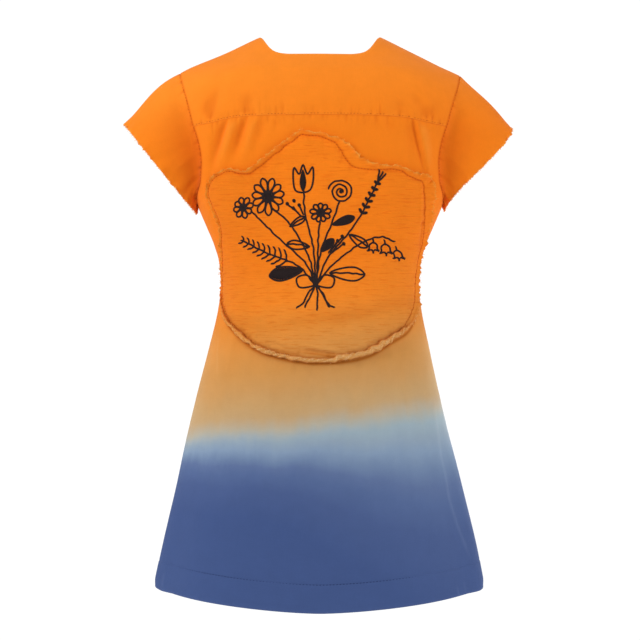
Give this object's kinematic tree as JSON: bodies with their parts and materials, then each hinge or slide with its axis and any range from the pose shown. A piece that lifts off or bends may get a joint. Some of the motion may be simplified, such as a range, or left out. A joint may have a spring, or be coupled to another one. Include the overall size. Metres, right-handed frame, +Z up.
{
  "type": "wrap dress",
  "caption": "Short wrap dress with cap sleeves and a raw-edged patch on its back, dyed orange over blue, in the hollow shape it has when worn.",
  "frame": {"origin": "middle between the two neck points, where the wearer's shoulders hold the dress", "axes": "+Z up, -Y out of the front, +X towards the wearer's left"},
  "size_m": [0.5511, 0.2929, 0.7903],
  "materials": {
    "dyed_cotton": "matt plain-weave cotton, dip-dyed from orange through sand and pale blue to deep blue",
    "slub_cotton": "matt slubby cotton with raw rolled edges and black thread embroidery",
    "button": "semi-matt moulded button"
  },
  "bodies": {
    "root": {"back_yoke": "dyed_cotton", "back_body": "dyed_cotton", "front_left": "dyed_cotton", "front_right": "dyed_cotton", "sleeve_left": "dyed_cotton", "sleeve_right": "dyed_cotton", "back_patch": "slub_cotton", "button": "button"}
  },
  "joints": []
}
